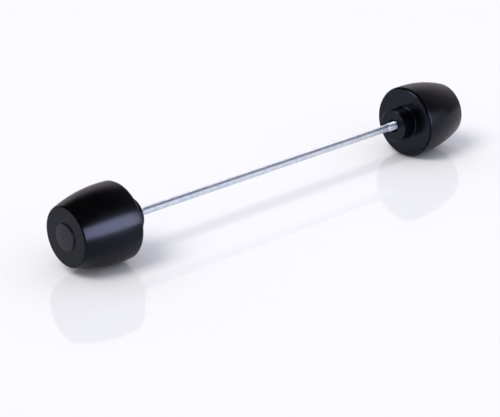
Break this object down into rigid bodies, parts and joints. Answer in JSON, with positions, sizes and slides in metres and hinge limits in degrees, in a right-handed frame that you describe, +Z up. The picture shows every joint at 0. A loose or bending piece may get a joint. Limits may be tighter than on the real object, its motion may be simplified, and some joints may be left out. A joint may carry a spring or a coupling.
{
  "type": "fork slider",
  "caption": "Fork slider set: crowned black plastic barrels with spigot flanges and end caps on a steel tie rod that runs through a hollow front wheel axle.",
  "frame": {"origin": "on the floor under the middle of the tie rod, at the centre of the bottom of the object's box", "axes": "+X along the tie rod from the left slider to the right one, +Y to the rear, +Z up"},
  "size_m": [0.3386, 0.05, 0.05],
  "materials": {
    "zinc_steel": "bright zinc plate",
    "zinc_hardware": "zinc plate",
    "black_barrel": "satin turned acetal",
    "black_flange": "black anodised, satin",
    "black_cap": "satin moulded",
    "nylon_ring": "moulded nylon"
  },
  "bodies": {
    "left_slider": {"left_barrel": "black_barrel", "left_spigot_flange": "black_flange", "left_end_cap": "black_cap"},
    "left_thrust_washer": {"left_washer": "zinc_hardware"},
    "rod": {"tie_rod": "zinc_steel", "left_lock_nut": "zinc_hardware", "left_locking_ring": "nylon_ring", "right_lock_nut": "zinc_hardware", "right_locking_ring": "nylon_ring"},
    "right_thrust_washer": {"right_washer": "zinc_hardware"},
    "right_slider": {"right_barrel": "black_barrel", "right_spigot_flange": "black_flange", "right_end_cap": "black_cap"}
  },
  "joints": [
    {"name": "left_turn", "type": "hinge", "parent": "left_slider", "child": "left_thrust_washer", "pos_m": [-0.1462, 0, 0.025], "axis": [1, 0, 0], "continuous": true},
    {"name": "left_play", "type": "slide", "parent": "left_thrust_washer", "child": "rod", "axis": [-1, 0, 0], "range_m": [0, 0.011]},
    {"name": "right_play", "type": "slide", "parent": "rod", "child": "right_thrust_washer", "axis": [-1, 0, 0], "range_m": [0, 0.011]},
    {"name": "right_turn", "type": "hinge", "parent": "right_thrust_washer", "child": "right_slider", "pos_m": [0.1462, 0, 0.025], "axis": [1, 0, 0], "continuous": true}
  ]
}
